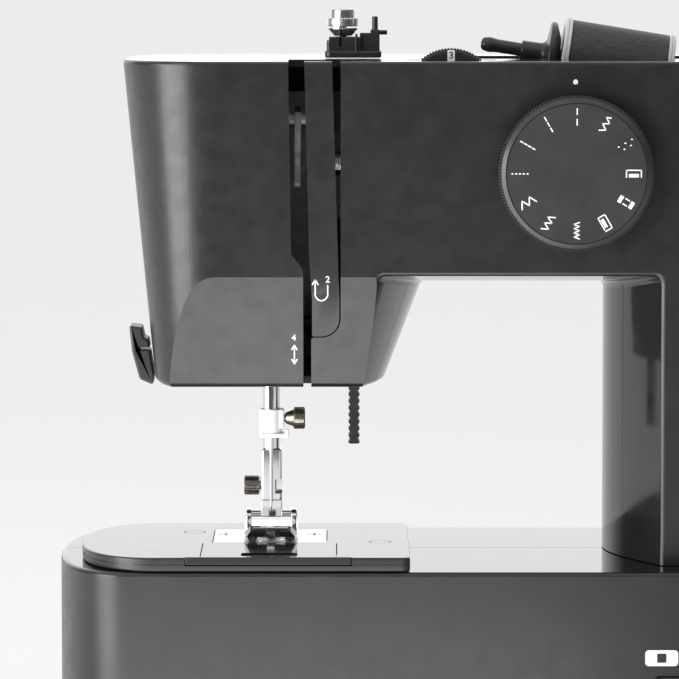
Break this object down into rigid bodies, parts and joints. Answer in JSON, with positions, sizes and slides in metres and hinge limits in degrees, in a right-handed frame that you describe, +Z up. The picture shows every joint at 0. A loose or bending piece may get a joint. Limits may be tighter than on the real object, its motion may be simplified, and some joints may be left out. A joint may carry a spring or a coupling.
{
  "type": "sewing machine",
  "caption": "Compact black household sewing machine: rounded head and base, arm over a bed with presser foot, stitch dial, top spool recess, handwheel on the right.",
  "frame": {"origin": "on the table, at the middle of the bounding box's footprint", "axes": "+X to the right towards the handwheel, -Y towards the person sewing, +Z up"},
  "size_m": [0.295, 0.12, 0.265],
  "materials": {
    "body_plastic": "satin moulded black",
    "glossy_plastic": "polished black",
    "dark_plastic": "fine black moulding",
    "white_plastic": "white moulding",
    "clear_plastic": "clear",
    "rubber": "matt black",
    "steel": "ground steel",
    "chrome": "bright plated",
    "dark_steel": "bronze-tinted steel",
    "cast_frame": "die cast",
    "thread": "wound black thread",
    "board": "lacquered board"
  },
  "bodies": {
    "machine_body": {"arm_front_cover": "body_plastic", "arm_rear_cover": "body_plastic", "base_bottom_plate": "dark_plastic", "base_front_shell": "body_plastic", "base_rear_shell": "body_plastic", "bed_plate": "body_plastic", "bobbin_case": "dark_plastic", "channel_cover": "body_plastic", "control_board": "board", "face_cover": "body_plastic", "inner_frame": "cast_frame", "lamp_lens": "clear_plastic", "motor": "steel", "motor_belt": "rubber", "needle_plate": "steel", "needle_plate_screw_left": "steel", "needle_plate_screw_right": "steel", "pedal_jack": "dark_plastic", "power_inlet": "dark_plastic", "pretension_disc": "chrome", "rubber_foot_1": "rubber", "rubber_foot_2": "rubber", "rubber_foot_3": "rubber", "rubber_foot_4": "rubber", "spool_pin": "dark_plastic", "tension_discs": "chrome", "thread_cutter": "dark_plastic", "thread_guide_bracket": "dark_plastic", "timing_belt": "rubber"},
    "drive_shaft": {"main_shaft": "steel", "needle_crank": "cast_frame", "handwheel": "dark_plastic"},
    "needle_link": {"needle_link": "steel"},
    "take_up_lever": {"take_up_lever": "chrome"},
    "lower_shaft": {"lower_shaft": "steel"},
    "rotary_hook": {"rotary_hook": "steel"},
    "motor_rotor": {"motor_pulley": "steel"},
    "needle_bar": {"needle_bar": "chrome", "needle_clamp": "white_plastic", "needle": "chrome"},
    "needle_clamp_screw": {"needle_clamp_screw": "dark_steel"},
    "presser_bar": {"presser_bar": "chrome", "foot_holder": "chrome"},
    "foot_holder_screw": {"foot_holder_screw": "dark_steel"},
    "presser_foot": {"presser_foot": "chrome"},
    "foot_release_lever": {"foot_release_lever": "dark_steel"},
    "presser_lifter": {"presser_lifter_lever": "dark_plastic"},
    "stitch_dial": {"stitch_dial": "dark_plastic", "pattern_cam": "white_plastic"},
    "tension_dial": {"tension_dial": "dark_plastic"},
    "pretension_knob": {"pretension_knob": "steel"},
    "thread_spool": {"thread_spool": "thread"},
    "spool_cap": {"spool_cap": "dark_plastic"},
    "winder_carrier": {"bobbin_winder_carrier": "dark_plastic"},
    "winder_spindle": {"bobbin_winder_spindle": "steel"},
    "reverse_button": {"reverse_button": "dark_plastic"},
    "speed_switch": {"speed_switch_knob": "dark_plastic"},
    "bobbin_cover": {"bobbin_cover": "glossy_plastic"},
    "bobbin": {"bobbin": "clear_plastic"},
    "feed_dog": {"feed_dog": "steel"}
  },
  "joints": [
    {"name": "handwheel_turn", "type": "hinge", "parent": "machine_body", "child": "drive_shaft", "pos_m": [0, -0.01, 0.212], "axis": [1, 0, 0], "continuous": true},
    {"name": "needle_link_turn", "type": "hinge", "parent": "drive_shaft", "child": "needle_link", "pos_m": [-0.0696, -0.01, 0.227], "axis": [1, 0, 0], "continuous": true},
    {"name": "take_up_turn", "type": "hinge", "parent": "drive_shaft", "child": "take_up_lever", "pos_m": [-0.0653, -0.01, 0.227], "axis": [1, 0, 0], "continuous": true},
    {"name": "lower_shaft_turn", "type": "hinge", "parent": "machine_body", "child": "lower_shaft", "pos_m": [0, -0.011, 0.031], "axis": [1, 0, 0], "continuous": true},
    {"name": "hook_turn", "type": "hinge", "parent": "machine_body", "child": "rotary_hook", "pos_m": [-0.0747, -0.033, 0.05], "axis": [0, 0, 1], "continuous": true},
    {"name": "motor_turn", "type": "hinge", "parent": "machine_body", "child": "motor_rotor", "pos_m": [0.1, 0.02, 0.04], "axis": [1, 0, 0], "continuous": true},
    {"name": "needle_bar_slide", "type": "slide", "parent": "machine_body", "child": "needle_bar", "axis": [0, 0, 1], "range_m": [-0.03, 0]},
    {"name": "needle_clamp_screw_turn", "type": "hinge", "parent": "needle_bar", "child": "needle_clamp_screw", "pos_m": [-0.065, -0.01, 0.124], "axis": [1, 0, 0], "continuous": true},
    {"name": "presser_bar_slide", "type": "slide", "parent": "machine_body", "child": "presser_bar", "axis": [0, 0, 1], "range_m": [0, 0.006]},
    {"name": "foot_holder_screw_turn", "type": "hinge", "parent": "presser_bar", "child": "foot_holder_screw", "pos_m": [-0.081, 0.004, 0.099], "axis": [1, 0, 0], "continuous": true},
    {"name": "presser_foot_tilt", "type": "hinge", "parent": "presser_bar", "child": "presser_foot", "pos_m": [-0.0747, 0.004, 0.089], "axis": [-1, 0, 0], "range_deg": [0, 7]},
    {"name": "foot_release_press", "type": "hinge", "parent": "presser_bar", "child": "foot_release_lever", "pos_m": [-0.0747, 0.01, 0.0922], "axis": [-1, 0, 0], "range_deg": [0, 12], "stiffness_Nm_per_rad": 0.02},
    {"name": "presser_lifter_swing", "type": "hinge", "parent": "machine_body", "child": "presser_lifter", "pos_m": [-0.0459, 0.02, 0.154], "axis": [1, 0, 0], "range_deg": [0, 75]},
    {"name": "stitch_dial_turn", "type": "hinge", "parent": "machine_body", "child": "stitch_dial", "pos_m": [0.0286, -0.044, 0.2107], "axis": [0, -1, 0], "continuous": true},
    {"name": "tension_dial_turn", "type": "hinge", "parent": "machine_body", "child": "tension_dial", "pos_m": [-0.0131, -0.025, 0.2364], "axis": [0, -1, 0], "range_deg": [-108, 216]},
    {"name": "pretension_knob_turn", "type": "hinge", "parent": "machine_body", "child": "pretension_knob", "pos_m": [-0.0498, -0.005, 0.262], "axis": [0, 0, 1], "continuous": true},
    {"name": "spool_turn", "type": "hinge", "parent": "machine_body", "child": "thread_spool", "pos_m": [-0.002, 0.005, 0.2529], "axis": [0.9871, 0, -0.1599], "continuous": true},
    {"name": "spool_cap_slide", "type": "slide", "parent": "machine_body", "child": "spool_cap", "axis": [-0.9871, 0, 0.1599], "range_m": [0, 0.03]},
    {"name": "winder_slide", "type": "slide", "parent": "machine_body", "child": "winder_carrier", "axis": [1, 0, 0], "range_m": [0, 0.004]},
    {"name": "winder_spin", "type": "hinge", "parent": "winder_carrier", "child": "winder_spindle", "pos_m": [0.104, 0.005, 0.25], "axis": [0, 0, 1], "continuous": true},
    {"name": "reverse_press", "type": "slide", "parent": "machine_body", "child": "reverse_button", "axis": [0, 1, 0], "range_m": [0, 0.004], "stiffness_N_per_m": 300},
    {"name": "speed_switch_slide", "type": "slide", "parent": "machine_body", "child": "speed_switch", "axis": [1, 0, 0], "range_m": [0, 0.016]},
    {"name": "bobbin_cover_slide", "type": "slide", "parent": "machine_body", "child": "bobbin_cover", "axis": [0, -1, 0], "range_m": [0, 0.028]},
    {"name": "bobbin_spin", "type": "hinge", "parent": "machine_body", "child": "bobbin", "pos_m": [-0.0747, -0.033, 0.07], "axis": [0, 0, 1], "continuous": true},
    {"name": "feed_slide", "type": "slide", "parent": "machine_body", "child": "feed_dog", "axis": [0, -1, 0], "range_m": [-0.0015, 0.0015]}
  ],
  "couplings": [
    {"joint": "needle_link_turn", "follows": "handwheel_turn", "ratio": -1},
    {"joint": "take_up_turn", "follows": "handwheel_turn", "ratio": -1},
    {"joint": "lower_shaft_turn", "follows": "handwheel_turn", "ratio": 1},
    {"joint": "hook_turn", "follows": "handwheel_turn", "ratio": -2},
    {"joint": "motor_turn", "follows": "handwheel_turn", "ratio": 3.1429},
    {"joint": "presser_lifter_swing", "follows": "presser_bar_slide", "rad_per_m": 218.1}
  ]
}
